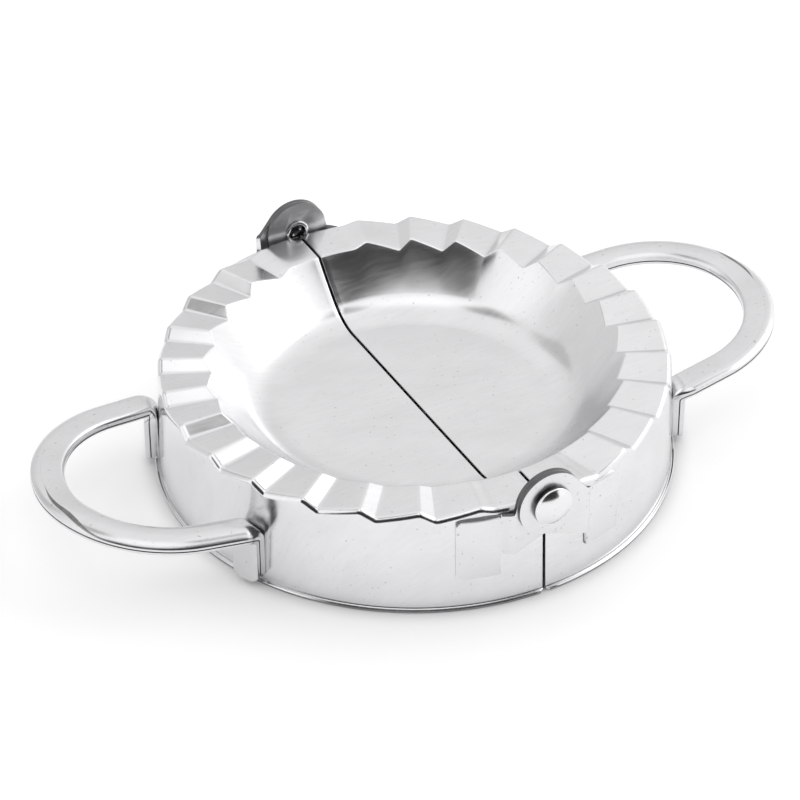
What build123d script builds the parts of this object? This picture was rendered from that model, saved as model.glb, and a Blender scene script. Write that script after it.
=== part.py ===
from build123d import *
import math
import os

# A folding dumpling press of polished stainless sheet. Two half shells lie flat as one round
# dish with a crimping rim, and one folds over onto the other about two riveted hinges.
# The origin is the middle of the base, +Z is up, the split runs along Y and the handles along X.
# The +X half is modelled, and the -X half is the same stampings turned half a turn about Z.
# All lengths are in millimetres and all angles in degrees.

# Driving sizes of the whole press
base_diameter = 95.0        # over the lip that stands on the table and cuts the dough
rim_height = 20.7           # from the table to the tips of the teeth
sheet = 0.6                 # stainless sheet of the two shells
split_gap = 0.5             # between the two shells when they lie flat
closing_gap = 0.4           # between the crimping faces when the press is shut
overrun = 5.0               # how far a cutting shape runs past what it cuts

# Pressed shell: skirt, lip and dish
lip_width = 1.3             # from the outside of the skirt to the edge of the lip
lip_bend = 0.3              # radius of the corner between skirt and lip
lip_corner = 1.2            # rounding of the lip's four corners at the split
dish_depth = 10.4           # from the tips of the teeth to the flat dish floor
dish_slope = 47.0           # the dish wall under the teeth
dish_blend = 10.0           # radius between the floor and the wall
rim_width = 8.2             # from the skirt to where the dish wall meets the tips of the teeth

# Crimping rim: saw teeth that mesh with the other half's when the press folds
pitches_round = 28          # tooth pitches in the full circle
tooth_rise = 1.6            # from the root of a tooth to its tip
shoulder_width = 0.9        # of the rounded-over outer edge of a tooth
shoulder_slope = 45.0
drop_share = 0.27           # of a pitch, taken by the steep side of a tooth

# Hinge lugs: ear, neck, and a pad that is spot-welded to the skirt
lug_sheet = 0.8
ear_radius = 6.1
ear_clearance = 0.45        # from the skirt to the inner ear
ear_gap = 0.1               # between the two ears of one hinge
outer_neck_length = 7.4     # from the hinge axis to the step down to the skirt
outer_neck_rise = 0.4       # top of the neck over the hinge axis
inner_neck_length = 6.4     # shorter and lower, so that the outer lug clears it when the press is shut
inner_neck_rise = -0.9
neck_drop = 9.2             # bottom of the neck under the hinge axis
step_length = 0.8           # from the end of the outer neck to where the step meets the skirt
step_drop = 1.2             # top of the step's end under the hinge axis
pad_length = 7.6
pad_top_drop = 2.2          # top of the pad under the hinge axis
pad_bottom_drop = 13.7      # bottom of the pad under the hinge axis
pad_corner = 1.0

# Semi-tubular rivets
rivet_radius = 2.0
rivet_fit = 0.05            # radial running clearance in the ears
rivet_end_play = 0.05
head_radius = 3.7
head_side = 0.9
head_dome = 1.2
tail_radius = 2.35
tail_height = 0.3           # of the rolled end
bore_radius = 1.6           # of the hollow end

# Handles: a strip rolled to a flat oval, bent to a D and turned down to two feet on the skirt
loop_reach = 25.9           # from the edge of the lip to the outside of the loop
loop_share = 0.968          # radius of the loop as a share of half the distance between its legs
loop_tilt = 5.5             # the loop rises away from the shell
strip_width = 5.9
strip_height = 2.6
strip_corner = 1.1          # rounding of the two upper edges
strip_sheet = 0.7
seam = 0.35                 # open seam along the outside of the roll
foot_angle = 24.6           # from the X axis to the middle of a foot
foot_width = 5.5
foot_edge = 0.5             # the upper edges are pressed sharper here
foot_seat = 0.15            # how far the foot is pressed to the round of the skirt
foot_top = 9.8              # where the foot starts to bend out from the skirt
foot_lip_gap = 0.2          # from the lip's bend to the foot
foot_corner = 1.5
bend_radius = 1.2           # inside of the bend from foot to loop
bend_steps = 4              # sections along the bend

# Places that follow from the sizes above
lip_radius = base_diameter / 2
skirt_radius = lip_radius - lip_width
shoulder_radius = skirt_radius - shoulder_width
dish_mouth_radius = skirt_radius - rim_width
dish_floor_height = rim_height - dish_depth
rim_middle = rim_height - tooth_rise / 2
hinge_height = rim_middle + closing_gap / 2
step_end = outer_neck_length + step_length
pitch = 360 / pitches_round
inner_ear_face = skirt_radius + ear_clearance
outer_ear_face = inner_ear_face + lug_sheet + ear_gap
foot_bottom = sheet + lip_bend + foot_lip_gap
bend_reach = skirt_radius + strip_height - foot_seat + bend_radius

# The loop lies in a plane that rises with X, from where its legs meet the bends
leg_x = bend_reach * math.cos(math.radians(foot_angle)) - bend_radius * math.sin(math.radians(loop_tilt))
leg_y = bend_reach * math.sin(math.radians(foot_angle))
leg_z = foot_top + bend_radius * math.cos(math.radians(loop_tilt))
loop_plane = Plane(origin=(leg_x, 0, leg_z), z_dir=(0, 0, 1)).rotated((0, -loop_tilt, 0))
loop_radius = loop_share * leg_y
loop_end = lip_radius + loop_reach - strip_width / 2
loop_centre = (loop_end - loop_radius - leg_x) / math.cos(math.radians(loop_tilt))


def upright_plane(angle):
    """Upright plane through the Z axis, with its x axis outwards at the angle."""
    c, s = math.cos(math.radians(angle)), math.sin(math.radians(angle))
    return Plane(origin=(0, 0, 0), x_dir=(c, s, 0), z_dir=(s, -c, 0))


def shell_outline(inset):
    """Half section under the sheet's top face, or with an inset under its lower face."""
    slope = math.radians(dish_slope)
    lean = Vector(math.cos(slope), math.sin(slope))
    blend = dish_blend + inset
    skirt = skirt_radius - inset
    bend_x, bend_z = skirt_radius + lip_bend, sheet + lip_bend
    # the dish wall is a straight line that moves square to itself with the inset
    mouth = Vector(dish_mouth_radius + inset * math.sin(slope), rim_height - inset * math.cos(slope))
    cap = mouth + lean * overrun
    floor_height = dish_floor_height - inset
    toe = mouth - lean * ((mouth.Y - floor_height) / math.sin(slope))
    tangent = blend * math.tan(slope / 2)
    blend_start, blend_end = Vector(toe.X - tangent, floor_height), toe + lean * tangent
    with BuildLine() as outline:
        Line((0, floor_height), blend_start)
        RadiusArc(blend_start, blend_end, -blend)
        Polyline(blend_end, cap, (skirt, cap.Y), (skirt, bend_z))
        RadiusArc((skirt, bend_z), (bend_x, sheet - inset), -(lip_bend + inset))
        if inset:
            Polyline((bend_x, sheet - inset), (bend_x, -overrun), (0, -overrun), (0, floor_height))
        else:
            Polyline((bend_x, sheet), (lip_radius, sheet), (lip_radius, 0), (0, 0), (0, floor_height))
    return outline.line


def rim_stations():
    """Angle and height of each tip and root of the +X half, round from the front of the split."""
    root, tip = rim_middle - tooth_rise / 2, rim_middle + tooth_rise / 2
    steps = pitches_round // 2 - 1
    half_drop = pitch * drop_share / 2
    # the two ends beside the split are level for a whole pitch, at mid height
    stations = [(-90 - pitch, rim_middle)]
    for step in range(1, steps + 1):
        angle = -90 + step * pitch
        stations.append((angle - half_drop, rim_middle if step == 1 else tip))
        stations.append((angle + half_drop, rim_middle if step == steps else root))
    stations.append((90 + pitch, rim_middle))
    return stations


def above_the_teeth(inset):
    """Everything above the crimping face of the +X half, lowered by the inset."""
    reach = lip_radius + overrun
    throat = dish_mouth_radius - overrun
    edge = shoulder_radius - inset * math.tan(math.radians(shoulder_slope / 2))
    fall = (reach - edge) * math.tan(math.radians(shoulder_slope))
    top = rim_height + 2 * overrun
    with BuildPart() as space:
        for angle, tooth_height in rim_stations():
            height = tooth_height - inset
            with BuildSketch(upright_plane(angle)):
                with BuildLine():
                    Polyline((throat, height), (edge, height), (reach, height - fall), (reach, top),
                             (throat, top), close=True)
                make_face()
        loft(ruled=True)
    return space.part


def half_shell():
    """One pressed half: flat dish, crimping rim, skirt and lip of even sheet."""
    solids = []
    for inset in (sheet, 0):
        outline, cut = shell_outline(inset), above_the_teeth(inset)
        with BuildPart() as form:
            with BuildSketch(Plane.XZ):
                add(outline)
                make_face()
            revolve(axis=Axis.Z)
            add(cut, mode=Mode.SUBTRACT)
        solids.append(form.part)
    inside, outside = solids
    with BuildPart() as shell:
        add(outside)
        add(inside, mode=Mode.SUBTRACT)
        split(bisect_by=Plane.YZ.offset(split_gap / 2), keep=Keep.TOP)
        upright = shell.edges().filter_by(Axis.Z).group_by(Axis.Y)
        fillet(upright[0] + upright[-1], lip_corner)
    return shell


def on_skirt(along, out=0):
    """Point on the front of the skirt, its x given, or as far outside the skirt as asked."""
    angle = math.asin(along / skirt_radius)
    return ((skirt_radius + out) * math.sin(angle), -(skirt_radius + out) * math.cos(angle))


def lug_band(face, neck_length):
    """The bent sheet of a lug seen from above: straight ear and neck, step, and curved pad."""
    pad_end = step_end + 2 * pad_length
    middle = (step_end + pad_end) / 2
    back = -2 * ear_radius
    with BuildPart() as band:
        with BuildSketch():
            with BuildLine():
                Polyline((back, -face), (neck_length, -face), on_skirt(step_end))
                ThreePointArc(on_skirt(step_end), on_skirt(middle), on_skirt(pad_end))
                Line(on_skirt(pad_end), on_skirt(pad_end, lug_sheet))
                ThreePointArc(on_skirt(pad_end, lug_sheet), on_skirt(middle, lug_sheet),
                              on_skirt(step_end, lug_sheet))
                Polyline(on_skirt(step_end, lug_sheet), (neck_length, -face - lug_sheet),
                         (back, -face - lug_sheet), (back, -face))
            make_face()
        extrude(amount=hinge_height + 2 * ear_radius)
    return band.part


def lug(face, neck_length, neck_rise, at_back=False):
    """Hinge lug of the +X half, its ear lying the given distance from the Z axis."""
    band = lug_band(face, neck_length)
    pad_end = step_end + pad_length
    pad_top, pad_bottom = hinge_height - pad_top_drop, hinge_height - pad_bottom_drop
    neck_top, neck_low = hinge_height + neck_rise, hinge_height - neck_drop
    with BuildPart() as piece:
        with BuildSketch(Plane.XZ.offset(face - overrun)) as blank:
            with BuildLine():
                CenterArc((0, hinge_height), ear_radius, 0, 360)
                Line((neck_length, neck_top), (neck_length, neck_low))
            make_hull()
            with BuildLine():
                Polyline((neck_length, neck_low), (neck_length, neck_top),
                         (step_end, hinge_height - step_drop), (step_end, pad_top), (pad_end, pad_top),
                         (pad_end, pad_bottom), (step_end, pad_bottom), (step_end, neck_low), close=True)
            make_face()
            fillet(blank.vertices().group_by(Axis.X)[-1], pad_corner)
            fillet(blank.vertices().group_by(Axis.Z)[0].sort_by(Axis.X)[0], pad_corner / 2)
            with Locations((0, hinge_height)):
                Circle(rivet_radius + rivet_fit, mode=Mode.SUBTRACT)
        extrude(amount=2 * overrun)
        add(band, mode=Mode.INTERSECT)
        if at_back:
            mirror(about=Plane.XZ, mode=Mode.REPLACE)
    return piece


def rivet():
    """Rivet of the front hinge: domed head outside, hollow rolled end inside."""
    inner = -inner_ear_face + rivet_end_play
    outer = -outer_ear_face - lug_sheet - rivet_end_play
    brim = outer - head_side
    dome = (head_radius ** 2 + head_dome ** 2) / (2 * head_dome)
    rolled_edge = inner + tail_height / 2
    with BuildPart() as piece:
        with BuildSketch(Plane.XY.offset(hinge_height)):
            with BuildLine():
                Line((0, outer), (0, brim - head_dome))
                RadiusArc((0, brim - head_dome), (head_radius, brim), -dome)
                Polyline((head_radius, brim), (head_radius, outer), (rivet_radius, outer),
                         (rivet_radius, inner), (tail_radius, inner), (tail_radius, rolled_edge))
                ThreePointArc((tail_radius, rolled_edge),
                              ((tail_radius + bore_radius) / 2, inner + tail_height),
                              (bore_radius, rolled_edge))
                Polyline((bore_radius, rolled_edge), (bore_radius, outer), (0, outer))
            make_face()
        revolve(axis=Axis((0, 0, hinge_height), (0, 1, 0)))
    return piece


def strip_section(plane, flatness=0, hollow=False):
    """Section of the rolled strip on the plane: underside on its x axis, two rounded upper edges.

    The flatness goes from 0 in the loop to 1 where the strip is pressed into a foot.
    """
    half_width = (strip_width + (foot_width - strip_width) * flatness) / 2
    corner = strip_corner + (foot_edge - strip_corner) * flatness
    side, top = strip_height - corner, half_width - corner
    with BuildSketch(plane) as section:
        with BuildLine():
            Polyline((-half_width, side), (-half_width, 0), (half_width, 0), (half_width, side))
            RadiusArc((half_width, side), (top, strip_height), -corner)
            Line((top, strip_height), (-top, strip_height))
            RadiusArc((-top, strip_height), (-half_width, side), -corner)
        make_face()
        if hollow:
            offset(amount=-strip_sheet, kind=Kind.INTERSECTION)
            with Locations((-half_width, strip_sheet)):
                Rectangle(4 * strip_sheet, seam, align=(Align.CENTER, Align.MIN))
    return section.sketch


def loop_tangent():
    """Where the +Y leg meets the arc of the loop, as its angle and its place in the loop's plane."""
    angle = math.atan2(leg_y, -loop_centre) - math.acos(loop_radius / math.hypot(loop_centre, leg_y))
    return angle, loop_centre + loop_radius * math.cos(angle), loop_radius * math.sin(angle)


def loop_half(hollow):
    """The +Y half of the loop, swept from its tip round to the bend, or the hollow in it."""
    angle, x, y = loop_tangent()
    tip = Plane(origin=loop_plane.from_local_coords((loop_centre + loop_radius, 0, 0)),
                x_dir=loop_plane.x_dir * -1, z_dir=loop_plane.y_dir)
    with BuildLine(loop_plane) as path:
        CenterArc((loop_centre, 0), loop_radius, 0, math.degrees(angle))
        Line((x, y), (0, leg_y))
    with BuildPart() as half:
        add(strip_section(tip, hollow=hollow))
        sweep(path=path.line)
    return half.part


def foot_half():
    """The +Y foot of a handle and the bend between it and the loop."""
    angle, tilt = math.radians(foot_angle), math.radians(loop_tilt)
    hub = Vector(bend_reach * math.cos(angle), bend_reach * math.sin(angle), foot_top)
    up = Vector(0, 0, 1)
    x, y = loop_tangent()[1:]
    leg = (loop_plane.x_dir * x + loop_plane.y_dir * (y - leg_y)).normalized()
    first = Plane(origin=loop_plane.from_local_coords((0, leg_y, 0)),
                  x_dir=loop_plane.z_dir.cross(leg), z_dir=leg)
    with BuildPart() as bend:
        add(strip_section(first))
        for step in range(1, bend_steps + 1):
            flatness = step / bend_steps
            turn = tilt + (math.pi / 2 - tilt) * flatness
            yaw = angle * flatness
            out = Vector(math.cos(yaw), math.sin(yaw), 0)
            place = hub + (up * math.cos(turn) - out * math.sin(turn)) * bend_radius
            top = Plane(origin=place, x_dir=up.cross(out), z_dir=out * math.cos(turn) + up * math.sin(turn))
            add(strip_section(top, flatness))
        loft()
    with BuildPart() as foot:
        add(strip_section(top, 1))
        add(strip_section(top.offset(foot_bottom - foot_top), 1))
        loft(ruled=True)
        corners = foot.edges().filter_by(Axis(top.origin, out)).group_by(Axis.Z)[0]
        fillet(corners, foot_corner)
    return bend.part + foot.part


def handle():
    """Handle of the +X half: D loop of rolled strip on two pressed feet."""
    loop, hollow, foot = loop_half(hollow=False), loop_half(hollow=True), foot_half()
    with BuildPart() as piece:
        add(loop)
        add(foot)
        add(hollow, mode=Mode.SUBTRACT)
        with Locations((0, 0, foot_bottom - overrun)):
            Cylinder(skirt_radius, rim_height, align=(Align.CENTER, Align.CENTER, Align.MIN),
                     mode=Mode.SUBTRACT)
        mirror(about=Plane.XZ)
    return piece


def write(name, piece, turned=False):
    """Write one piece of the +X half, or its twin turned half a turn about Z."""
    with BuildPart() as placed:
        add(piece.part, rotation=(0, 0, 180 if turned else 0))
    placed.part.label = name
    export_step(placed.part, f"parts/{name}.step")


os.makedirs("parts", exist_ok=True)
outer_lug = lug(outer_ear_face, outer_neck_length, outer_neck_rise)
inner_lug = lug(inner_ear_face, inner_neck_length, inner_neck_rise, at_back=True)
for right, left, piece in (
        ("right_shell", "left_shell", half_shell()),
        ("right_handle", "left_handle", handle()),
        ("front_outer_lug", "back_outer_lug", outer_lug),
        ("back_inner_lug", "front_inner_lug", inner_lug),
        ("front_rivet", "back_rivet", rivet())):
    write(right, piece)
    write(left, piece, turned=True)
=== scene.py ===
import math

import bmesh
import bpy
from mathutils import Matrix, Vector


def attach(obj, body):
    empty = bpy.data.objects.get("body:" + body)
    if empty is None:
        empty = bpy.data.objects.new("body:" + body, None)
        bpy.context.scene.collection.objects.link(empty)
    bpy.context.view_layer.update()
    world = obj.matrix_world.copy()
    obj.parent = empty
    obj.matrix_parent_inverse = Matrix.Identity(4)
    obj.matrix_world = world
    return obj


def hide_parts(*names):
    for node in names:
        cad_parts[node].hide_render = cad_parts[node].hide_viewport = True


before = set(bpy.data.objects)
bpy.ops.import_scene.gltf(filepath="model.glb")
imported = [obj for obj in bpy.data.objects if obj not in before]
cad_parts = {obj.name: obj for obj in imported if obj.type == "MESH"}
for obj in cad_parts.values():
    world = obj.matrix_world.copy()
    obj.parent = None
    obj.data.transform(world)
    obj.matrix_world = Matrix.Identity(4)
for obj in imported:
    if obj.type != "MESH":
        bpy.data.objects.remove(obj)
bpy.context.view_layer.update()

# Camera. The photograph looks down on the press from the front left, from about 0.6 m away with
# a long lens, so that the split runs from the upper left to the lower right.
mm = 0.001
camera_data = bpy.data.cameras.new("camera")
camera_data.sensor_width, camera_data.lens = 36, 147.95
camera_data.shift_x, camera_data.shift_y = -0.01836, 0.0034
camera = bpy.data.objects.new("camera", camera_data)
bpy.context.scene.collection.objects.link(camera)
bpy.context.scene.camera = camera
bpy.context.scene.view_settings.view_transform = "Standard"
view_turn, view_height, view_roll = math.radians(-28.5), math.radians(36.42), math.radians(-0.11)
view_distance, looked_at = 596.9 * mm, Vector((0, 0, 10 * mm))
facing = (Matrix.Rotation(view_turn, 4, "Z") @ Matrix.Rotation(math.pi / 2 - view_height, 4, "X")
          @ Matrix.Rotation(view_roll, 4, "Z"))
camera.matrix_world = Matrix.Translation(looked_at) @ facing @ Matrix.Translation((0, 0, view_distance))


# Table and light. The press stands on white paper that runs up behind it, under a broad soft
# light, with one lamp behind it on the right that draws the soft shadow towards the front left.
def maths(tree, operation, *values, clamp=False):
    """Math node on sockets or plain numbers."""
    node = tree.nodes.new("ShaderNodeMath")
    node.operation, node.use_clamp = operation, clamp
    for socket, value in zip(node.inputs, values):
        if isinstance(value, bpy.types.NodeSocket):
            tree.links.new(value, socket)
        else:
            socket.default_value = value
    return node.outputs[0]


def fade(tree, value, start, end, low=0.0, high=1.0):
    """Goes smoothly from low to high as the value goes from start to end."""
    node = tree.nodes.new("ShaderNodeMapRange")
    node.interpolation_type = "SMOOTHSTEP"
    tree.links.new(value, node.inputs["Value"])
    for name, number in (("From Min", start), ("From Max", end), ("To Min", low), ("To Max", high)):
        node.inputs[name].default_value = number
    return node.outputs["Result"]


def seen_plainly(tree):
    """1 for what the camera sees directly, in a reflection or through something, and 0 for light."""
    path = tree.nodes.new("ShaderNodeLightPath")
    rays = maths(tree, "ADD", path.outputs["Is Camera Ray"], path.outputs["Is Glossy Ray"])
    return maths(tree, "ADD", rays, path.outputs["Is Transmission Ray"], clamp=True)


paper = bpy.data.materials.new("white_paper")
paper.use_nodes = True
tree = paper.node_tree
tree.nodes.clear()
surface = tree.nodes.new("ShaderNodeOutputMaterial")
matt = tree.nodes.new("ShaderNodeBsdfDiffuse")
matt.inputs["Color"].default_value = (0.88, 0.88, 0.88, 1)
lift = tree.nodes.new("ShaderNodeEmission")
both = tree.nodes.new("ShaderNodeAddShader")
place = tree.nodes.new("ShaderNodeTexCoord")
length = tree.nodes.new("ShaderNodeVectorMath")
length.operation = "LENGTH"
tree.links.new(place.outputs["Object"], length.inputs[0])
# Round the press the paper glows a little for the camera and in reflections, so that it goes to white.
# The glow fades out towards the press, which paints a soft contact shadow round it, and under its edge
# it keeps the dark contact line.
lift_start, lift_end, lift_strength = 45.5 * mm, 51 * mm, 0.30
lifted = fade(tree, length.outputs["Value"], lift_start, lift_end, 0.0, lift_strength)
tree.links.new(maths(tree, "MULTIPLY", seen_plainly(tree), lifted), lift.inputs["Strength"])
tree.links.new(matt.outputs[0], both.inputs[0])
tree.links.new(lift.outputs[0], both.inputs[1])
tree.links.new(both.outputs[0], surface.inputs["Surface"])

paper_radius, paper_drop = 1.6, 0.02 * mm
bm = bmesh.new()
bmesh.ops.create_circle(bm, cap_ends=True, segments=96, radius=paper_radius)
bmesh.ops.translate(bm, verts=bm.verts, vec=(0, 0, -paper_drop))
mesh = bpy.data.meshes.new("table_paper")
bm.to_mesh(mesh)
bm.free()
mesh.materials.append(paper)
table_paper = bpy.data.objects.new("table_paper", mesh)
bpy.context.scene.collection.objects.link(table_paper)

world = bpy.data.worlds.new("soft_room")
bpy.context.scene.world = world
world.use_nodes = True
tree = world.node_tree
tree.nodes.clear()
surface = tree.nodes.new("ShaderNodeOutputWorld")
sky = tree.nodes.new("ShaderNodeBackground")
sky.inputs["Color"].default_value = (1, 1, 1, 1)
place = tree.nodes.new("ShaderNodeTexCoord")
parts = tree.nodes.new("ShaderNodeSeparateXYZ")
tree.links.new(place.outputs["Generated"], parts.inputs[0])
height = maths(tree, "ARCSINE", parts.outputs["Z"])


def dark_card(azimuth, half_width, low, high, side_soft, low_soft, high_soft, depth):
    """Share of the light that is left where a dark card stands in the room, with its sizes in degrees."""
    turn = math.radians(azimuth)
    ahead = maths(tree, "ADD", maths(tree, "MULTIPLY", parts.outputs["X"], math.cos(turn)),
                  maths(tree, "MULTIPLY", parts.outputs["Y"], math.sin(turn)))
    aside = maths(tree, "SUBTRACT", maths(tree, "MULTIPLY", parts.outputs["Y"], math.cos(turn)),
                  maths(tree, "MULTIPLY", parts.outputs["X"], math.sin(turn)))
    off = maths(tree, "ABSOLUTE", maths(tree, "ARCTAN2", aside, ahead))
    width = fade(tree, off, math.radians(half_width + side_soft), math.radians(half_width))
    above = fade(tree, height, math.radians(low - low_soft), math.radians(low))
    below = fade(tree, height, math.radians(high + high_soft), math.radians(high))
    mask = maths(tree, "MULTIPLY", width, maths(tree, "MULTIPLY", above, below))
    return maths(tree, "SUBTRACT", 1.0, maths(tree, "MULTIPLY", mask, depth))


def facing_share(direction, start, end):
    """Goes smoothly from 0 to 1 as the looked-at direction turns towards the given one."""
    node = tree.nodes.new("ShaderNodeVectorMath")
    node.operation = "DOT_PRODUCT"
    tree.links.new(place.outputs["Generated"], node.inputs[0])
    node.inputs[1].default_value = direction
    return fade(tree, node.outputs["Value"], start, end)


# A bright room, brightest overhead, with a greyer backdrop behind the press.
bright = fade(tree, height, math.radians(55), math.radians(80), 1.18, 1.35)
backdrop = fade(tree, height, math.radians(8), math.radians(58), 0.78, 1.0)
behind, left_of_centre = (0.485, 0.875, 0), (-0.547, 0.713, 0.438)
mask = maths(tree, "MULTIPLY", facing_share(left_of_centre, -0.05, 0.38), facing_share(behind, -0.22, 0.12))
light = maths(tree, "ADD", bright, maths(tree, "MULTIPLY", mask, maths(tree, "SUBTRACT", backdrop, bright)))
# The dark camera side, the backdrop's edge on the right, and two gaps between the lamps overhead, each
# with its azimuth, half width, low and high edge, the softness of its sides and edges, and its depth.
for card in ((-111, 53, -5, 54, 3, 4, 4, 0.97),
             (117, 9, 30, 46, 7, 6, 7, 0.35),
             (-34, 9, 62, 71, 8, 6, 4, 0.72),
             (154, 13, 60, 71, 8, 6, 4, 0.66)):
    light = maths(tree, "MULTIPLY", light, dark_card(*card))
path = tree.nodes.new("ShaderNodeLightPath")
direct = path.outputs["Is Camera Ray"]
light = maths(tree, "ADD", maths(tree, "MULTIPLY", light, maths(tree, "SUBTRACT", 1.0, direct)), direct)
tree.links.new(light, sky.inputs["Strength"])
tree.links.new(sky.outputs[0], surface.inputs["Surface"])

lamp_data = bpy.data.lights.new("lamp_behind_right", "AREA")
lamp_data.shape, lamp_data.size, lamp_data.energy = "DISK", 0.9, 2.0
lamp = bpy.data.objects.new("lamp_behind_right", lamp_data)
bpy.context.scene.collection.objects.link(lamp)
lamp_place = Vector((0.944, -0.166, 0.722))
lamp.matrix_world = Matrix.Translation(lamp_place) @ lamp_place.to_track_quat("Z", "Y").to_matrix().to_4x4()


# Half shells. Each is one stamping of 0.6 mm stainless sheet: a flat dish floor, a slightly hollow
# wall, a rim of saw teeth that crimp the dough, and a skirt that spreads to a narrow cutting lip.
# The tooth rule is one geometry tree, and the left half is the same stamping turned half a turn.
sheet = 0.6
split_gap = 0.5
cut_round = 0.2
pitches_round, tooth_rise, drop_share = 28, 1.6, 0.27
rim_middle = 19.9
skirt_radius, spread_radius, lip_radius = 46.2, 46.85, 47.5
floor_height, wall_blend, wall_slope, wall_curve = 10.3, 10.0, math.radians(47), math.radians(3)
mouth_radius, mouth_round, shoulder_round = 38.0, 0.7, 1.1
lip_bend, lip_corner, lip_edge = 0.3, 1.2, 0.14


def shell_section():
    """Rows from the dish's middle to the lip: radius, height, normal, and its shares of a tooth's rise."""
    toe = mouth_radius - (rim_middle + tooth_rise / 2 - floor_height) / math.tan(wall_slope)
    blend_start = toe - wall_blend * math.tan(wall_slope / 2)
    rows = [(r, floor_height, 0, 1, 0, 0)
            for r in (split_gap / 2 + cut_round, 1.2, 2.5, 5, 8, 11, 14, 17, 20, 22.5)]
    low_slope, high_slope = wall_slope - wall_curve, wall_slope + wall_curve
    for step in range(19):
        a = low_slope * step / 18
        rows.append((blend_start + wall_blend * math.sin(a), floor_height + wall_blend * (1 - math.cos(a)),
                     -math.sin(a), math.cos(a), 0, 0))
    # The wall is a hollow curve between the slopes at its foot and its top, which meet at the knee.
    low_r, low_z = rows[-1][:2]
    corner_r = mouth_radius - tooth_rise / 2 / math.tan(wall_slope)
    start = mouth_round * math.tan(high_slope / 2)
    high_r, high_z = corner_r - start * math.cos(high_slope), rim_middle - start * math.sin(high_slope)
    turn = math.sin(high_slope - low_slope)
    reach = ((high_r - low_r) * math.sin(high_slope) - (high_z - low_z) * math.cos(high_slope)) / turn
    knee_r, knee_z = low_r + reach * math.cos(low_slope), low_z + reach * math.sin(low_slope)
    for step in range(1, 11):
        t = step / 10
        a = low_slope + (high_slope - low_slope) * t
        near, middle, far = (1 - t) ** 2, 2 * t * (1 - t), t ** 2
        rows.append((near * low_r + middle * knee_r + far * high_r,
                     near * low_z + middle * knee_z + far * high_z,
                     -math.sin(a), math.cos(a), t / math.tan(wall_slope), t))
    for step in range(1, 7):
        a = high_slope * (1 - step / 6)
        rows.append((corner_r + start - mouth_round * math.sin(a),
                     rim_middle - mouth_round * (1 - math.cos(a)),
                     -math.sin(a), math.cos(a), 1 / math.tan(wall_slope), 1))
    top_end = skirt_radius - shoulder_round
    for step in range(1, 8):
        r = rows[-1][0] + (top_end - rows[-1][0]) * step / 7
        slide = max(0.0, 1 - step / 5)
        rows.append((r, rim_middle, 0, 1, slide / math.tan(wall_slope), 1))
    for step in range(1, 10):
        a = math.pi / 2 * step / 9
        rows.append((top_end + shoulder_round * math.sin(a),
                     rim_middle - shoulder_round * (1 - math.cos(a)),
                     math.sin(a), math.cos(a), 0, 1))
    skirt_top, lifted_from = rim_middle - shoulder_round, 6
    lean = math.atan((spread_radius - skirt_radius) / (skirt_top - sheet))
    for z in (17.6, 16, 14, 12, 9, 6, 3.5, 1.8, 1.2, sheet + lip_bend):
        spread = (spread_radius - skirt_radius) * (skirt_top - z) / (skirt_top - sheet - lip_bend)
        rows.append((skirt_radius + spread, z, math.cos(lean), math.sin(lean), 0,
                     max(0.0, (z - lifted_from) / (skirt_top - lifted_from))))
    for step in range(1, 6):
        a = math.pi / 2 * step / 5
        rows.append((spread_radius + lip_bend * (1 - math.cos(a)), sheet + lip_bend * (1 - math.sin(a)),
                     math.cos(a), math.sin(a), 0, 0))
    lip_start = spread_radius + lip_bend
    rows += [(r, sheet, 0, 1, 0, 0)
             for r in (lip_start + 0.07, lip_start + 0.13, lip_radius - lip_edge, lip_radius)]
    return rows


def tooth_stations():
    """Angles of the columns as shares of a quarter turn, close together where a tooth turns over."""
    near = [0.5, 0.36, 0.26, 0.2, 0.175, 0.155, 0.135, 0.115, 0.095, 0.07, 0.035]
    pitches = pitches_round // 2
    places = {0.0, 0.12, 0.3, float(pitches), pitches - 0.12, pitches - 0.3}
    for k in range(1, pitches):
        places.add(float(k))
        places.update(k - d for d in near)
        places.update(k + d for d in near)
    return [p / pitches * 2 - 1 for p in sorted(places)]


def shell_ring(row, first, trim, stations, edge):
    """Points round a row of the shell, in mm: the outer face, a cut edge, the inner face, the other edge."""
    r, z, nr, nz = row[:4]
    over = max(0.0, r - (lip_radius - lip_corner))
    corner = lip_corner - math.sqrt(max(0.0, lip_corner ** 2 - over ** 2)) if z <= sheet else 0.0
    cut = split_gap / 2 + corner

    def face(depth, order):
        radius = r - depth * nr
        widest = 0.0 if first else math.acos(min(1.0, (cut + cut_round) / radius))
        return [(cut + cut_round if first else radius * math.cos(widest * share),
                 radius * math.sin(widest * share), z - depth * nz) for share in order]

    def cut_edge(side, order):
        thinned = [(cut + x, trim + depth / sheet * (sheet - 2 * trim)) for x, depth in order]
        return [(x, 0.0 if first else side * math.sqrt(max(0.0, (r - depth * nr) ** 2 - x ** 2)),
                 z - depth * nz) for x, depth in thinned]

    return (face(trim, stations) + cut_edge(1, edge)
            + face(sheet - trim, stations[::-1]) + cut_edge(-1, edge[::-1]))


def mark_faces(mesh, name, mark):
    """Named face attribute with what the mark rule gives for each face."""
    attribute = mesh.attributes.new(name, "FLOAT", "FACE")
    attribute.data.foreach_set("value", [float(mark(face)) for face in mesh.polygons])


def lip_shade_mark(face):
    """Painted shade: 1 on the lip's sheared edge, less in the crease at the skirt's foot, and 0 elsewhere."""
    far, level = face.center.xy.length / mm, face.center.z / mm
    if abs(face.normal.z) < 0.5 and far > lip_radius - 0.1:
        return 1.0
    creased = spread_radius - 0.05 < far < spread_radius + 0.12 and sheet + 0.05 < level < sheet + lip_bend
    return 0.7 if creased and face.normal.z > -0.5 else 0.0


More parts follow.
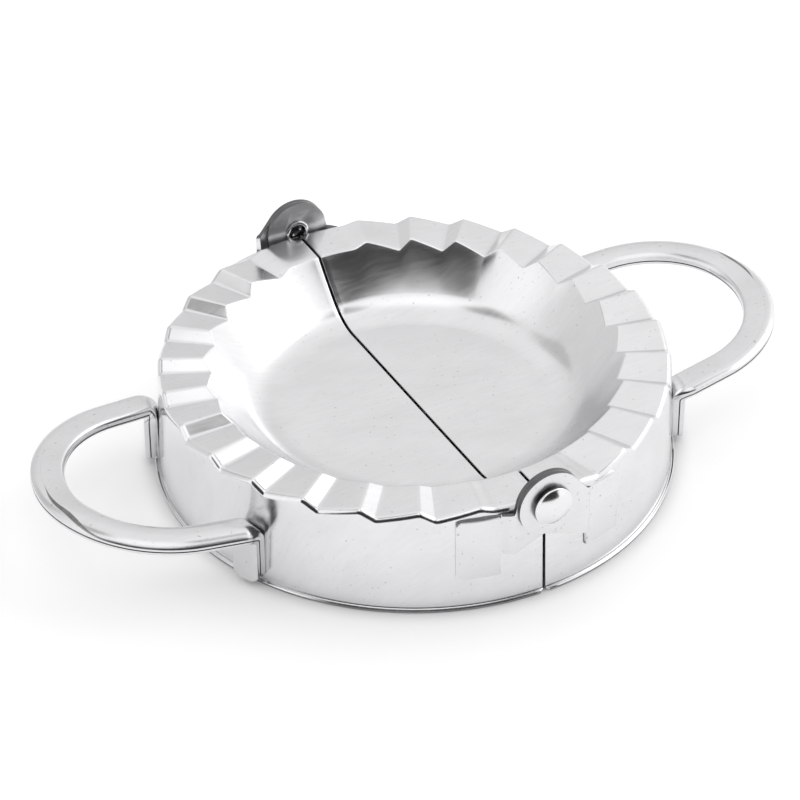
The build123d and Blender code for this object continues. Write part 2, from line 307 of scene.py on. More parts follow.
def half_shell_template():
    """Closed skin of the +X half without teeth, with each point's shares of the tooth's rise."""
    rows, stations = shell_section(), tooth_stations()
    edge = [(cut_round * (1 - math.sin(a)), cut_round * (1 - math.cos(a)))
            for a in (math.pi / 2 * step / 4 for step in range(1, 5))]
    edge += [(x, sheet - depth) for x, depth in reversed(edge)]
    points, rises, blanks = [], [], []
    run, last = 0.0, rows[0]
    for row in rows:
        run += math.hypot(row[0] - last[0], row[1] - last[1])
        last = row
        trim = lip_edge if row is rows[-1] else 0.0
        for x, y, level in shell_ring(row, row is rows[0], trim, stations, edge):
            turn = math.atan2(y, x)
            points.append((x * mm, y * mm, level * mm))
            rises.append((row[4], 0, row[5]))
            blanks.append((run * math.cos(turn) * mm, run * math.sin(turn) * mm, 0))
    size, count = len(points) // len(rows), len(stations)
    rings = [range(start, start + size) for start in range(0, len(points), size)]
    faces = []
    for near, far in zip(rings, rings[1:]):
        faces += [(near[j], near[(j + 1) % size], far[(j + 1) % size], far[j]) for j in range(size)]
    # The lip's outer edge, between the last row's two faces, and its two ends.
    rim, under = rings[-1], count + len(edge)
    faces += [(rim[j], rim[j + 1], rim[under + count - 2 - j], rim[under + count - 1 - j])
              for j in range(count - 1)]
    faces.append([rim[count - 1 + j] for j in range(len(edge) + 2)])
    faces.append([rim[(under + count - 1 + j) % size] for j in range(len(edge) + 2)])
    mesh = bpy.data.meshes.new("half_shell_template")
    mesh.from_pydata(points, [], faces)
    for name, values in (("rise", rises), ("blank", blanks)):
        attribute = mesh.attributes.new(name, "FLOAT_VECTOR", "POINT")
        attribute.data.foreach_set("vector", [v for value in values for v in value])
    bm = bmesh.new()
    bm.from_mesh(mesh)
    bmesh.ops.remove_doubles(bm, verts=bm.verts, dist=0.0005 * mm)
    bmesh.ops.recalc_face_normals(bm, faces=bm.faces)
    bm.to_mesh(mesh)
    bm.free()
    mark_faces(mesh, "cut", lip_shade_mark)
    return mesh


def new_tree(name, sizes):
    """Empty geometry tree with a geometry in and out and the named inputs."""
    tree = bpy.data.node_groups.new(name, "GeometryNodeTree")
    tree.interface.new_socket(name="Geometry", in_out="OUTPUT", socket_type="NodeSocketGeometry")
    tree.interface.new_socket(name="Geometry", in_out="INPUT", socket_type="NodeSocketGeometry")
    for size, kind in sizes:
        tree.interface.new_socket(name=size, in_out="INPUT", socket_type=kind)
    return tree, tree.nodes.new("NodeGroupInput").outputs


def finish_tree(tree, geometry, material):
    """Ends the tree in Realize Instances and Set Material."""
    real = tree.nodes.new("GeometryNodeRealizeInstances")
    coat = tree.nodes.new("GeometryNodeSetMaterial")
    out = tree.nodes.new("NodeGroupOutput")
    tree.links.new(geometry, real.inputs[0])
    tree.links.new(real.outputs[0], coat.inputs["Geometry"])
    tree.links.new(material, coat.inputs["Material"])
    tree.links.new(coat.outputs[0], out.inputs[0])


def run_tree(name, mesh, tree, values):
    """Plain mesh that the tree makes of the mesh with the given inputs."""
    source = bpy.data.objects.new(name + "_source", mesh)
    bpy.context.scene.collection.objects.link(source)
    modifier = source.modifiers.new("shape", "NODES")
    modifier.node_group = tree
    for item in tree.interface.items_tree:
        if item.in_out == "INPUT" and item.name in values:
            modifier[item.identifier] = values[item.name]
    evaluated = source.evaluated_get(bpy.context.evaluated_depsgraph_get())
    made = bpy.data.meshes.new_from_object(evaluated)
    made.name = name
    bpy.data.objects.remove(source)
    return made


def place_piece(name, mesh, body, node, turned=False, crease=34):
    """Puts the mesh in the scene, or its twin turned half a turn, smooth but for its creases."""
    if turned:
        mesh = mesh.copy()
        mesh.transform(Matrix.Rotation(math.pi, 4, "Z"))
    mesh.name = name
    mesh.polygons.foreach_set("use_smooth", [True] * len(mesh.polygons))
    mesh.set_sharp_from_angle(angle=math.radians(crease))
    piece = bpy.data.objects.new(name, mesh)
    bpy.context.scene.collection.objects.link(piece)
    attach(piece, body)
    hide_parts(node)


def steel(name, colour, roughness, source="Object", brushed=0.05):
    """Stainless steel with a fine grain along X, rubbed streaks, soft cloudy patches and a few specks."""
    material = bpy.data.materials.new(name)
    material.use_nodes = True
    tree = material.node_tree
    shader = tree.nodes["Principled BSDF"]
    shader.inputs["Metallic"].default_value = 1.0
    if source == "Object":
        spot = tree.nodes.new("ShaderNodeTexCoord").outputs["Object"]
    else:
        attribute = tree.nodes.new("ShaderNodeAttribute")
        attribute.attribute_name = source
        spot = attribute.outputs["Vector"]

    def noise(scale, size, detail, rough=0.55):
        mapping = tree.nodes.new("ShaderNodeMapping")
        mapping.inputs["Scale"].default_value = scale
        tree.links.new(spot, mapping.inputs["Vector"])
        node = tree.nodes.new("ShaderNodeTexNoise")
        node.inputs["Scale"].default_value = size
        node.inputs["Detail"].default_value = detail
        node.inputs["Roughness"].default_value = rough
        tree.links.new(mapping.outputs["Vector"], node.inputs["Vector"])
        return node.outputs["Fac"]

    grain = noise((1, 26, 26), 260, 3)
    clouds, clouded = noise((1, 1.6, 1), 70, 2), 0.07
    rubbing = noise((1, 7, 7), 190, 4)
    specks = noise((1, 1, 1), 1500, 1)
    rough = maths(tree, "ADD", maths(tree, "MULTIPLY", clouds, clouded),
                  maths(tree, "MULTIPLY", rubbing, brushed))
    tree.links.new(maths(tree, "ADD", rough, roughness - (clouded + brushed) / 2), shader.inputs["Roughness"])
    dots = fade(tree, specks, 0.70, 0.76, 1.0, 0.72)
    tint = maths(tree, "MULTIPLY", dots, fade(tree, clouds, 0.3, 0.7, 0.97, 1.02))
    tint = maths(tree, "MULTIPLY", tint, fade(tree, grain, 0.3, 0.7, 0.985, 1.015))
    tint = maths(tree, "MULTIPLY", tint, fade(tree, rubbing, 0.3, 0.7, 1.0 - brushed / 6, 1.0 + brushed / 12))
    mix = tree.nodes.new("ShaderNodeVectorMath")
    mix.operation = "SCALE"
    mix.inputs[0].default_value = colour
    tree.links.new(tint, mix.inputs["Scale"])
    tree.links.new(mix.outputs["Vector"], shader.inputs["Base Color"])
    bump = tree.nodes.new("ShaderNodeBump")
    bump.inputs["Strength"].default_value = 0.35
    bump.inputs["Distance"].default_value = 0.004 * mm
    tree.links.new(maths(tree, "ADD", grain, maths(tree, "MULTIPLY", rubbing, 0.6)), bump.inputs["Height"])
    tree.links.new(bump.outputs["Normal"], shader.inputs["Normal"])
    return material


def tree_attribute(tree, name):
    """The named attribute of the surface as a plain number."""
    mark = tree.nodes.new("ShaderNodeAttribute")
    mark.attribute_name = name
    return mark.outputs["Fac"]


def darkened(material, name, share):
    """Scales the steel's colour to the share where the named attribute is 1."""
    tree = material.node_tree
    colour = tree.nodes["Principled BSDF"].inputs["Base Color"]
    scaled = tree.nodes.new("ShaderNodeVectorMath")
    scaled.operation = "SCALE"
    tree.links.new(colour.links[0].from_socket, scaled.inputs[0])
    tree.links.new(fade(tree, tree_attribute(tree, name), 0, 1, 1.0, share), scaled.inputs["Scale"])
    tree.links.new(scaled.outputs["Vector"], colour)


def crimping_teeth():
    """Tree that lifts a plain rim into saw teeth by the angle round the Z axis."""
    tree, given = new_tree("crimping_teeth", (
        ("Pitch", "NodeSocketFloat"), ("Drops", "NodeSocketFloat"), ("Tooth Rise", "NodeSocketFloat"),
        ("Drop Share", "NodeSocketFloat"), ("Rounding", "NodeSocketFloat"), ("Steel", "NodeSocketMaterial")))
    at = tree.nodes.new("ShaderNodeSeparateXYZ")
    tree.links.new(tree.nodes.new("GeometryNodeInputPosition").outputs[0], at.inputs[0])
    turn = maths(tree, "ARCTAN2", at.outputs["Y"], at.outputs["X"])
    along = maths(tree, "DIVIDE", maths(tree, "ADD", turn, math.pi / 2), given["Pitch"])
    drop = maths(tree, "MINIMUM", maths(tree, "MAXIMUM", maths(tree, "ROUND", along), 1.0), given["Drops"])
    s = maths(tree, "SUBTRACT", along, drop)
    # The first tooth starts level and the last one ends level, beside the split.
    half_rise = maths(tree, "MULTIPLY", given["Tooth Rise"], 0.5)
    tip = maths(tree, "MULTIPLY", half_rise, maths(tree, "GREATER_THAN", drop, 1.5))
    root = maths(tree, "MULTIPLY", half_rise,
                 maths(tree, "LESS_THAN", drop, maths(tree, "SUBTRACT", given["Drops"], 0.5)))
    half_drop = maths(tree, "MULTIPLY", given["Drop Share"], 0.5)
    ramp = maths(tree, "SUBTRACT", 0.5, half_drop)
    up_before = maths(tree, "DIVIDE", maths(tree, "MULTIPLY", tip, maths(tree, "ADD", s, 0.5)), ramp)
    up_after = maths(tree, "DIVIDE", maths(tree, "MULTIPLY", root, maths(tree, "SUBTRACT", s, 0.5)), ramp)
    fall = maths(tree, "DIVIDE", maths(tree, "MULTIPLY", maths(tree, "ADD", tip, root),
                                       maths(tree, "ADD", s, half_drop)), given["Drop Share"])
    down = maths(tree, "SUBTRACT", tip, fall)
    level = maths(tree, "SMOOTH_MIN", up_before, down, given["Rounding"])
    level = maths(tree, "SMOOTH_MAX", level, up_after, given["Rounding"])
    share = tree.nodes.new("GeometryNodeInputNamedAttribute")
    share.data_type = "FLOAT_VECTOR"
    share.inputs["Name"].default_value = "rise"
    shares = tree.nodes.new("ShaderNodeSeparateXYZ")
    tree.links.new(share.outputs[0], shares.inputs[0])
    out = maths(tree, "MULTIPLY", shares.outputs["X"], level)
    move = tree.nodes.new("ShaderNodeCombineXYZ")
    tree.links.new(maths(tree, "MULTIPLY", out, maths(tree, "COSINE", turn)), move.inputs["X"])
    tree.links.new(maths(tree, "MULTIPLY", out, maths(tree, "SINE", turn)), move.inputs["Y"])
    tree.links.new(maths(tree, "MULTIPLY", shares.outputs["Z"], level), move.inputs["Z"])
    lift = tree.nodes.new("GeometryNodeSetPosition")
    tree.links.new(given["Geometry"], lift.inputs["Geometry"])
    tree.links.new(move.outputs[0], lift.inputs["Offset"])
    finish_tree(tree, lift.outputs[0], given["Steel"])
    return tree


tooth_rounding = 0.42
shell_steel = steel("shell_steel_finish", (0.785, 0.785, 0.795), 0.19, source="blank", brushed=0.10)
# The lip's edge and the crease at the skirt's foot are darkened in colour as painted shade.
darkened(shell_steel, "cut", 0.4)
half_shell = run_tree("half_shell", half_shell_template(), crimping_teeth(), {
    "Pitch": 2 * math.pi / pitches_round, "Drops": pitches_round / 2 - 1.0, "Tooth Rise": tooth_rise * mm,
    "Drop Share": drop_share, "Rounding": tooth_rounding * mm, "Steel": shell_steel})
place_piece("right_half_shell", half_shell, "right_half", "right_shell")
place_piece("left_half_shell", half_shell, "left_half", "left_shell", turned=True)


# Handles. Each is a stainless strip rolled to a flat oval with a fine seam along both sides and
# bent to a D, flatter in one leg and the tip than in the other. It is pressed where it turns down
# to two feet that are welded to the skirt, and a dark line is drawn in its colour along its outer edge.
strip_width, strip_height, flat_height, foot_width, foot_height, foot_seat = 5.9, 2.6, 1.9, 5.5, 2.6, 0.15
seam_gap, seam_depth, seam_taper, foot_bulge = 0.24, 0.5, 0.04, 0.5
loop_reach, loop_share, loop_tilt = 25.9, 0.968, math.radians(5.5)
foot_angle, foot_top, foot_bottom, foot_corner, elbow = math.radians(24.6), 9.8, 1.1, 1.5, 1.2


def eased(value, start, end):
    """Goes smoothly from 0 to 1 as the value goes from start to end."""
    share = min(1.0, max(0.0, (value - start) / (end - start)))
    return share * share * (3 - 2 * share)


def handle_stations():
    """Places along the +Y half of the handle, in mm: point, across, up, how pressed and how wide."""
    reach = skirt_radius + foot_height - foot_seat + elbow
    leg = Vector((reach * math.cos(foot_angle) - elbow * math.sin(loop_tilt), reach * math.sin(foot_angle),
                  foot_top + elbow * math.cos(loop_tilt)))
    radius = loop_share * leg.y
    centre = (lip_radius + loop_reach - strip_width / 2 - radius - leg.x) / math.cos(loop_tilt)
    out = Vector((math.cos(loop_tilt), 0, math.sin(loop_tilt)))
    side = Vector((0, 1, 0))
    lift = out.cross(side)
    base = Vector((leg.x, 0, leg.z))
    end = math.atan2(leg.y, -centre) - math.acos(radius / math.hypot(centre, leg.y))
    places = []
    for step in range(41):
        a = end * step / 40
        inward = -(out * math.cos(a) + side * math.sin(a))
        places.append((base + out * (centre + radius * math.cos(a)) + side * radius * math.sin(a),
                       inward, lift, 0, 1))
    last = places[-1][0]
    start = base + side * leg.y
    for step in range(1, 7):
        places.append((last.lerp(start, step / 7), inward, lift, 0, 1))
    hub = Vector((reach * math.cos(foot_angle), reach * math.sin(foot_angle), foot_top))
    up = Vector((0, 0, 1))
    for step in range(19):
        share = step / 18
        pressed = eased(share, 0, 1)
        turn = loop_tilt + (math.pi / 2 - loop_tilt) * share
        yaw = foot_angle * pressed
        ahead = Vector((math.cos(yaw), math.sin(yaw), 0))
        spot = hub + (up * math.cos(turn) - ahead * math.sin(turn)) * elbow
        across = -up.cross(ahead)
        across = inward.lerp(across, min(1.0, share * 3)).normalized()
        travel = ahead * math.cos(turn) + up * math.sin(turn)
        places.append((spot, across, -(travel.cross(across)), pressed, 1))
    spot, across, toward = places[-1][0], places[-1][1], places[-1][2]
    for z in (8.6, 7, 5.4, 4, 3.2, foot_bottom + foot_corner):
        places.append((Vector((spot.x, spot.y, z)), across, toward, 1, 1))
    for step in range(1, 9):
        a = math.pi / 2 * step / 8
        width = 1 - foot_corner * (1 - math.cos(a)) / (foot_width / 2)
        places.append((Vector((spot.x, spot.y, foot_bottom + foot_corner * (1 - math.sin(a)))),
                       across, toward, 1, width))
    return places


def strip_side(width, height, bottom, seam_at, radius, steepest):
    """Half of the strip's section in mm, from under its middle past the seam to the rounding of its top."""
    half, steep = width / 2, math.radians(steepest)
    points = [(0, 0), (half / 2, 0)]
    points += [(half - bottom * (1 - math.sin(a)), bottom * (1 - math.cos(a)))
               for a in (math.pi / 2 * j / 4 for j in range(5))]
    points += [(half, seam_at), (half - seam_depth, seam_at + seam_taper),
               (half - seam_depth, seam_at + seam_gap - seam_taper), (half, seam_at + seam_gap)]
    points += [(half - radius * (math.sin(steep) - math.sin(a)), height - radius * (1 - math.cos(a)))
               for a in (steep * (1 - j / 9) for j in range(10))]
    return points


def strip_outline(inner, outer, width, height):
    """Closed section from its two sides, as shares of the width and height."""
    around = inner + [(-u, v) for u, v in reversed(outer[1:])]
    return [(u / width, v / height, 0) for u, v in around]


def attributed_line(name, points, closed, attributes):
    """Polyline mesh with named attributes on its points."""
    count = len(points)
    edges = [(j, (j + 1) % count) for j in range(count if closed else count - 1)]
    mesh = bpy.data.meshes.new(name)
    mesh.from_pydata(points, edges, [])
    for title, kind, values in attributes:
        attribute = mesh.attributes.new(title, kind, "POINT")
        if kind == "FLOAT":
            attribute.data.foreach_set("value", values)
        else:
            attribute.data.foreach_set("vector", [v for value in values for v in value])
    return mesh


def rolled_strip():
    """Tree that carries the strip's section along the handle, from rolled to pressed."""
    tree, given = new_tree("rolled_strip", (
        ("Section", "NodeSocketObject"), ("Width", "NodeSocketFloat"), ("Height", "NodeSocketFloat"),
        ("Flat Height", "NodeSocketFloat"), ("Foot Width", "NodeSocketFloat"),
        ("Foot Height", "NodeSocketFloat"), ("Steel", "NodeSocketMaterial")))
    section = tree.nodes.new("GeometryNodeObjectInfo")
    tree.links.new(given["Section"], section.inputs["Object"])
    line = tree.nodes.new("GeometryNodeMeshToCurve")
    ring = tree.nodes.new("GeometryNodeMeshToCurve")
    tube = tree.nodes.new("GeometryNodeCurveToMesh")
    tree.links.new(given["Geometry"], line.inputs["Mesh"])
    tree.links.new(section.outputs["Geometry"], ring.inputs["Mesh"])
    tree.links.new(line.outputs[0], tube.inputs["Curve"])
    tree.links.new(ring.outputs[0], tube.inputs["Profile Curve"])
    tube.inputs["Fill Caps"].default_value = True

    def read(name, kind="FLOAT_VECTOR"):
        node = tree.nodes.new("GeometryNodeInputNamedAttribute")
        node.data_type = kind
        node.inputs["Name"].default_value = name
        return node.outputs["Attribute"]

    def split(vector):
        node = tree.nodes.new("ShaderNodeSeparateXYZ")
        tree.links.new(vector, node.inputs[0])
        return node.outputs

    flat, pressed, narrow = read("flat", "FLOAT"), read("pressed", "FLOAT"), read("narrow", "FLOAT")
    rolled_at, flat_at, pressed_at = (split(read(name)) for name in ("rolled_at", "flat_at", "pressed_at"))

    def towards(start, stop, share):
        return maths(tree, "ADD", start, maths(tree, "MULTIPLY", share, maths(tree, "SUBTRACT", stop, start)))

    def blended(axis, size, flat_size, foot_size):
        loop = towards(maths(tree, "MULTIPLY", rolled_at[axis], given[size]),
                       maths(tree, "MULTIPLY", flat_at[axis], given[flat_size]), flat)
        return towards(loop, maths(tree, "MULTIPLY", pressed_at[axis], given[foot_size]), pressed)

    def carried(direction, amount):
        node = tree.nodes.new("ShaderNodeVectorMath")
        node.operation = "SCALE"
        tree.links.new(read(direction), node.inputs[0])
        tree.links.new(amount, node.inputs["Scale"])
        return node.outputs["Vector"]

    def added(first, second):
        node = tree.nodes.new("ShaderNodeVectorMath")
        node.operation = "ADD"
        tree.links.new(first, node.inputs[0])
        tree.links.new(second, node.inputs[1])
        return node.outputs["Vector"]

    across = carried("across", maths(tree, "MULTIPLY", narrow, blended("X", "Width", "Width", "Foot Width")))
    up = carried("up", blended("Y", "Height", "Flat Height", "Foot Height"))
    put = tree.nodes.new("GeometryNodeSetPosition")
    tree.links.new(tube.outputs[0], put.inputs["Geometry"])
    tree.links.new(added(read("centre"), added(across, up)), put.inputs["Position"])
    finish_tree(tree, put.outputs[0], given["Steel"])
    return tree


def flatness(y):
    """How far the strip is rolled flat: fully in the -Y leg and the tip, not at all in the +Y leg."""
    return 1 - eased(y, -1, 9)


def dark_edge_line(y):
    """How far down the rounded outer edge the dark line lies at a place, and its half width, as shares."""
    at = 0.35 * eased(y, -3, 4) + 0.6 * eased(y, 3, 13)
    return at, 0.15 * eased(y, -4, 2) * (1 - 0.6 * eased(y, 6, 12))


def draw_dark_edge_line(material):
    """Mixes the dark line into the steel's colour, broken up by its streaks."""
    tree = material.node_tree
    shader = tree.nodes["Principled BSDF"]
    from_line = maths(tree, "SUBTRACT", tree_attribute(tree, "round_edge"), tree_attribute(tree, "line_at"))
    within = maths(tree, "SUBTRACT", tree_attribute(tree, "line_width"), maths(tree, "ABSOLUTE", from_line))
    streaks = fade(tree, shader.inputs["Roughness"].links[0].from_socket, 0.19, 0.25, 0.6, 1.0)
    darker = tree.nodes.new("ShaderNodeMix")
    darker.data_type = "RGBA"
    first, second, mixed = darker.inputs[6], darker.inputs[7], darker.outputs[2]
    tree.links.new(maths(tree, "MULTIPLY", fade(tree, within, -0.02, 0.05), streaks), darker.inputs["Factor"])
    tree.links.new(shader.inputs["Base Color"].links[0].from_socket, first)
    second.default_value = (0.12, 0.112, 0.105, 1)
    tree.links.new(mixed, shader.inputs["Base Color"])


half = handle_stations()
flip = Vector((1, -1, 1))
whole = [(p * flip, a * flip, u * flip, f, w) for p, a, u, f, w in reversed(half[1:])] + half
path = attributed_line("handle_path", [tuple(p * mm) for p, *_ in whole], False, (
    ("centre", "FLOAT_VECTOR", [p * mm for p, *_ in whole]),
    ("across", "FLOAT_VECTOR", [s[1] for s in whole]),
    ("up", "FLOAT_VECTOR", [s[2] for s in whole]),
    ("pressed", "FLOAT", [float(s[3]) for s in whole]),
    ("flat", "FLOAT", [flatness(s[0].y) for s in whole]),
    ("narrow", "FLOAT", [float(s[4]) for s in whole]),
    ("line_at", "FLOAT", [dark_edge_line(s[0].y)[0] for s in whole]),
    ("line_width", "FLOAT", [dark_edge_line(s[0].y)[1] * (1 - s[3]) for s in whole])))

# The section's three forms, the inner side first: bottom corner, seam height, top rounding and its slope.
rolled = strip_outline(strip_side(strip_width, strip_height, 0.35, 0.7, 3.2, 42),
                       strip_side(strip_width, strip_height, 0.25, 0.6, 3.9, 50), strip_width, strip_height)
flat = strip_outline(strip_side(strip_width, flat_height, 0.35, 0.42, 0.95, 90),
                     strip_side(strip_width, flat_height, 0.25, 0.4, 2.4, 45), strip_width, flat_height)
foot_side = strip_side(foot_width, foot_height, 0.35, 0.9, 0.5, 90)
pressed = [(u, v - foot_bulge / foot_height, w)
           for u, v, w in strip_outline(foot_side, foot_side, foot_width, foot_height)]
# The bottom of the seams, darkened in colour as painted shade.
seam_shade = [float(abs(u) * strip_width < strip_width / 2 - 0.45 and 0.6 < v * strip_height < 1.1)
        for u, v, _ in rolled]
# Below 0 over the inner seam, from 0 to 1 round the outer edge, and above 1 under it as far as that seam.
round_edge = [2.0] * 9 + [-1.0] * 12 + [step / 9 for step in range(10)] + [2.0] * (len(rolled) - 31)
section = bpy.data.objects.new("handle_section", attributed_line(
    "handle_section", [(u * strip_width * mm, v * strip_height * mm, 0) for u, v, _ in rolled], True, (
        ("rolled_at", "FLOAT_VECTOR", rolled), ("flat_at", "FLOAT_VECTOR", flat),
        ("pressed_at", "FLOAT_VECTOR", pressed), ("seam_shade", "FLOAT", seam_shade),
        ("round_edge", "FLOAT", round_edge))))
bpy.context.scene.collection.objects.link(section)
handle_steel = steel("handle_steel_finish", (0.74, 0.74, 0.75), 0.22)
# The seams' bottoms are darkened in colour as painted shade.
darkened(handle_steel, "seam_shade", 0.12)
draw_dark_edge_line(handle_steel)
handle = run_tree("handle", path, rolled_strip(), {
    "Section": section, "Width": strip_width * mm, "Height": strip_height * mm,
    "Flat Height": flat_height * mm, "Foot Width": foot_width * mm, "Foot Height": foot_height * mm,
    "Steel": handle_steel})
bpy.data.objects.remove(section)
bm = bmesh.new()
bm.from_mesh(handle)
bmesh.ops.remove_doubles(bm, verts=bm.verts, dist=0.001 * mm)
bmesh.ops.recalc_face_normals(bm, faces=bm.faces)
bm.to_mesh(handle)
bm.free()
place_piece("right_loop_handle", handle, "right_half", "right_handle", crease=42)
place_piece("left_loop_handle", handle, "left_half", "left_handle", turned=True, crease=42)


# Hinge lugs. Four ears are cut from 0.8 mm stainless sheet, each with a neck that steps in to a
# pad that is spot-welded to the skirt. At the front the right half's ear is outside, and at the
# back the left half's.
hinge_height = 20.1
lug_sheet, ear_radius, rivet_hole = 0.8, 6.1, 2.05
inner_face, outer_face = 46.65, 47.55
outer_neck_length, outer_neck_rise, inner_neck_length, inner_neck_rise = 7.4, 0.4, 6.4, -0.9
neck_drop, step_end, step_drop, pad_length, pad_top_drop, pad_bottom_drop = 9.2, 8.2, 1.2, 7.6, 1.5, 13.7
pad_corner, notch_corner, step_corner, lug_edge = 1.0, 0.5, 0.35, 0.12


def arc(cx, cz, radius, start, stop, count):
    """Points of an arc about (cx, cz), with both its ends."""
    angles = [start + (stop - start) * j / count for j in range(count + 1)]
    return [(cx + radius * math.cos(a), cz + radius * math.sin(a)) for a in angles]


def lug_outline(neck_length, neck_rise):
    """Outline about the hinge axis, from under the ear round the pad to its top, and its start angle."""
    def tangent(x, z, side):
        return math.atan2(z, x) + side * math.acos(ear_radius / math.hypot(x, z))

    low, high = tangent(neck_length, -neck_drop, -1), tangent(neck_length, neck_rise, 1)
    pad_end = step_end + pad_length
    points = [(ear_radius * math.cos(low), ear_radius * math.sin(low)), (neck_length, -neck_drop)]
    points += arc(step_end - step_corner, -neck_drop - step_corner, step_corner, math.pi / 2, 0, 4)
    points += arc(step_end + notch_corner, -pad_bottom_drop + notch_corner, notch_corner,
                  math.pi, math.pi * 1.5, 5)
    points += arc(pad_end - pad_corner, -pad_bottom_drop + pad_corner, pad_corner, -math.pi / 2, 0, 7)
    points += arc(pad_end - pad_corner, -pad_top_drop - pad_corner, pad_corner, 0, math.pi / 2, 7)
    points += [(step_end + 0.3, -pad_top_drop), (step_end, -step_drop), (neck_length, neck_rise)]
    return points + arc(0, 0, ear_radius, high, math.pi / 2, 12), low


def lug_mesh(face, neck_length, neck_rise):
    """Sheet of a lug of the +X half at the front, bent to the skirt."""
    right, low = lug_outline(neck_length, neck_rise)
    left = arc(0, 0, ear_radius, math.pi / 2, 2 * math.pi + low, 40)
    bm = bmesh.new()
    made = {}

    def corner(point):
        key = (round(point[0], 4), round(point[1], 4))
        if key not in made:
            made[key] = bm.verts.new((point[0] * mm, -face * mm, (hinge_height + point[1]) * mm))
        return made[key]

    def plate(points):
        verts = []
        for point in points:
            vert = corner(point)
            if vert not in verts:
                verts.append(vert)
        bm.faces.new(verts)

    plate(right + arc(0, 0, rivet_hole, math.pi / 2, low, 24))
    plate(left + arc(0, 0, rivet_hole, 2 * math.pi + low, math.pi / 2, 24))
    # Cut across wherever it bends, then bent from the plane of the ear to the round of the skirt.
    cuts = [neck_length - 0.45 + 0.11 * j for j in range(22)] + [step_end + 0.9 + 0.45 * j for j in range(15)]
    for x in cuts:
        bmesh.ops.bisect_plane(bm, geom=bm.verts[:] + bm.edges[:] + bm.faces[:], plane_co=(x * mm, 0, 0),
                               plane_no=(1, 0, 0), dist=0.0002 * mm)
    skirt_at = math.sqrt(skirt_radius ** 2 - step_end ** 2)
    for vert in bm.verts:
        x = vert.co.x / mm
        blend = eased(x, neck_length - 0.2, step_end + 0.2)
        skirt = math.sqrt(skirt_radius ** 2 - x * x) if x > step_end else skirt_at
        vert.co.y = -(face + (skirt - face) * blend) * mm
    bmesh.ops.recalc_face_normals(bm, faces=bm.faces)
    front = max(bm.faces, key=lambda f: f.calc_area())
    if front.normal.y > 0:
        bmesh.ops.reverse_faces(bm, faces=bm.faces)
    mesh = bpy.data.meshes.new("lug")
    bm.to_mesh(mesh)
    bm.free()
    return mesh


def edge_shade_mark(face):
    """Painted shade: 1 on a lug's cut edges, but for the bright one along the top of its pad."""
    pad_top = face.center.x > step_end * mm and face.center.z > (hinge_height - pad_top_drop - 0.4) * mm
    return abs(face.normal.y) < 0.3 and not pad_top


def thickened(mesh, thickness, edge, material):
    """Gives a sheet its thickness on its outer side and eases its cut edges."""
    source = bpy.data.objects.new("sheet_source", mesh)
    bpy.context.scene.collection.objects.link(source)
    wall = source.modifiers.new("wall", "SOLIDIFY")
    wall.thickness, wall.offset, wall.use_even_offset = thickness * mm, 1, True
    ease = source.modifiers.new("ease", "BEVEL")
    ease.width, ease.segments, ease.limit_method = edge * mm, 3, "ANGLE"
    ease.angle_limit = math.radians(55)
    made = bpy.data.meshes.new_from_object(source.evaluated_get(bpy.context.evaluated_depsgraph_get()))
    bpy.data.objects.remove(source)
    made.materials.append(material)
    mark_faces(made, "cut", edge_shade_mark)
    return made


lug_steel = steel("lug_steel_finish", (0.80, 0.80, 0.81), 0.36)
# A lug's cut edges are darkened in colour as painted shade.
darkened(lug_steel, "cut", 0.2)
outer_sheet = lug_mesh(outer_face, outer_neck_length, outer_neck_rise)
inner_sheet = lug_mesh(inner_face, inner_neck_length, inner_neck_rise)
outer_lug = thickened(outer_sheet, lug_sheet, lug_edge, lug_steel)
inner_lug = thickened(inner_sheet, lug_sheet, lug_edge, lug_steel)
# The +X half has its inner lug at the back.
inner_lug.transform(Matrix.Scale(-1, 4, (0, 1, 0)))
inner_lug.flip_normals()
place_piece("front_outer_ear", outer_lug, "right_half", "front_outer_lug")
place_piece("back_outer_ear", outer_lug, "left_half", "back_outer_lug", turned=True)
place_piece("back_inner_ear", inner_lug, "right_half", "back_inner_lug")
place_piece("front_inner_ear", inner_lug, "left_half", "front_inner_lug", turned=True)


# Rivets. Semi-tubular steel rivets hold each pair of ears: a low domed head outside, and inside
# a hollow end that is rolled over the inner ear, with a little play so that the halves fold.
shank_radius, end_play, head_radius, head_side, head_dome = 2.0, 0.05, 3.7, 0.9, 1.2
tail_radius, tail_height, bore_radius = 2.35, 0.3, 1.6


def in_shade(face):
    """Whether a face of the front rivet lies in its bore or round the side of its head."""
    x, y, z = face.center
    far = math.hypot(x, z - hinge_height * mm)
    bored = far < bore_radius * mm and y > -outer_face * mm
    return bored or far > (head_radius - 0.05) * mm and y < -outer_face * mm


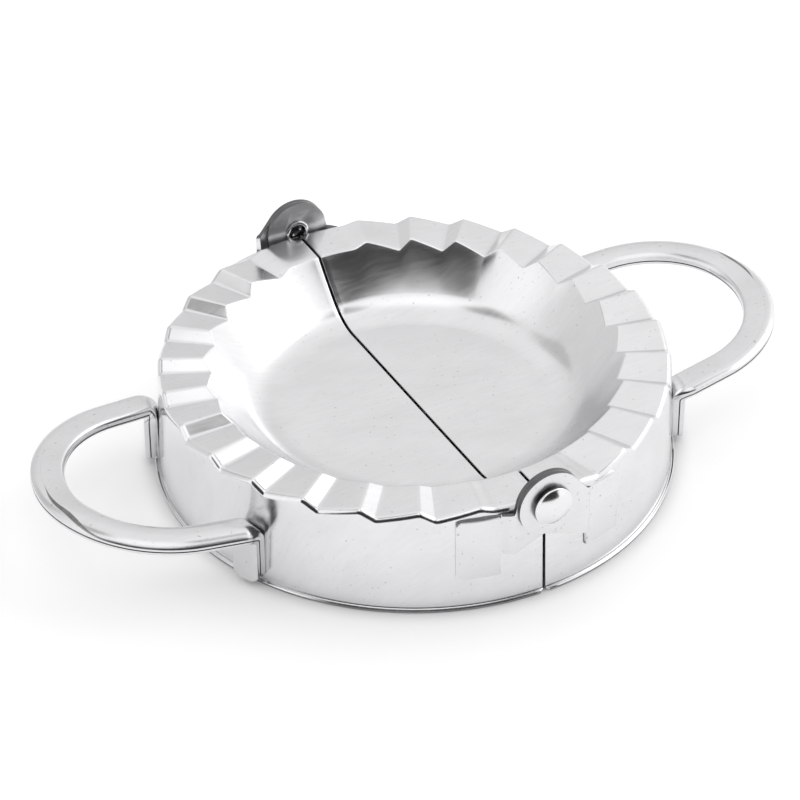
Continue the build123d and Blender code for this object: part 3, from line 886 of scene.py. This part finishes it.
def turned_round(name, section, material, segments=72):
    """Solid turned about the hinge axis from (radius, y) points that start and end on the axis."""
    bm = bmesh.new()
    rings = []
    for radius, y in section:
        angles = [2 * math.pi * j / segments for j in range(segments if radius else 1)]
        rings.append([bm.verts.new((radius * math.cos(a) * mm, y * mm,
                                    (hinge_height + radius * math.sin(a)) * mm)) for a in angles])
    for near, far in zip(rings, rings[1:]):
        for j in range(segments):
            k = (j + 1) % segments
            if len(near) == 1:
                bm.faces.new([near[0], far[k], far[j]])
            elif len(far) == 1:
                bm.faces.new([near[j], near[k], far[0]])
            else:
                bm.faces.new([near[j], near[k], far[k], far[j]])
    bmesh.ops.recalc_face_normals(bm, faces=bm.faces)
    mesh = bpy.data.meshes.new(name)
    bm.to_mesh(mesh)
    bm.free()
    mesh.materials.append(material)
    mark_faces(mesh, "shade", in_shade)
    return mesh


def rivet_section():
    """Section of the front rivet from the middle of its head to the bottom of its bore."""
    inner = -inner_face + end_play
    seat = -outer_face - lug_sheet - end_play
    brim = seat - head_side
    dome = (head_radius ** 2 + head_dome ** 2) / (2 * head_dome)
    widest = math.asin(head_radius / dome) * 0.93
    points = [(0, brim - head_dome)]
    points += [(dome * math.sin(a), brim - head_dome + dome * (1 - math.cos(a)))
               for a in (widest * j / 14 for j in range(1, 15))]
    # The head's side with both its edges eased, and the shank down to the rolled end.
    points += [(head_radius - 0.08, brim - 0.13), (head_radius - 0.02, brim - 0.03),
               (head_radius, brim + 0.1), (head_radius, seat - 0.12),
               (head_radius - 0.04, seat - 0.03), (head_radius - 0.14, seat),
               (shank_radius, seat), (shank_radius, inner),
               (tail_radius - 0.1, inner), (tail_radius, inner + 0.05)]
    middle, half = (tail_radius + bore_radius) / 2, (tail_radius - bore_radius) / 2
    points += [(middle + half * math.cos(a), inner + tail_height / 2 + tail_height / 2 * math.sin(a))
               for a in (math.pi * j / 10 for j in range(11))]
    points += [(bore_radius, inner - 0.3), (bore_radius, seat + 0.5), (bore_radius - 0.3, seat + 0.2),
               (0, seat)]
    return points


rivet_steel = steel("rivet_steel_finish", (0.84, 0.84, 0.85), 0.16)
darkened(rivet_steel, "shade", 0.12)
rivet = turned_round("rivet", rivet_section(), rivet_steel)
place_piece("front_hinge_rivet", rivet, "left_half", "front_rivet")
place_piece("back_hinge_rivet", rivet, "left_half", "back_rivet", turned=True)
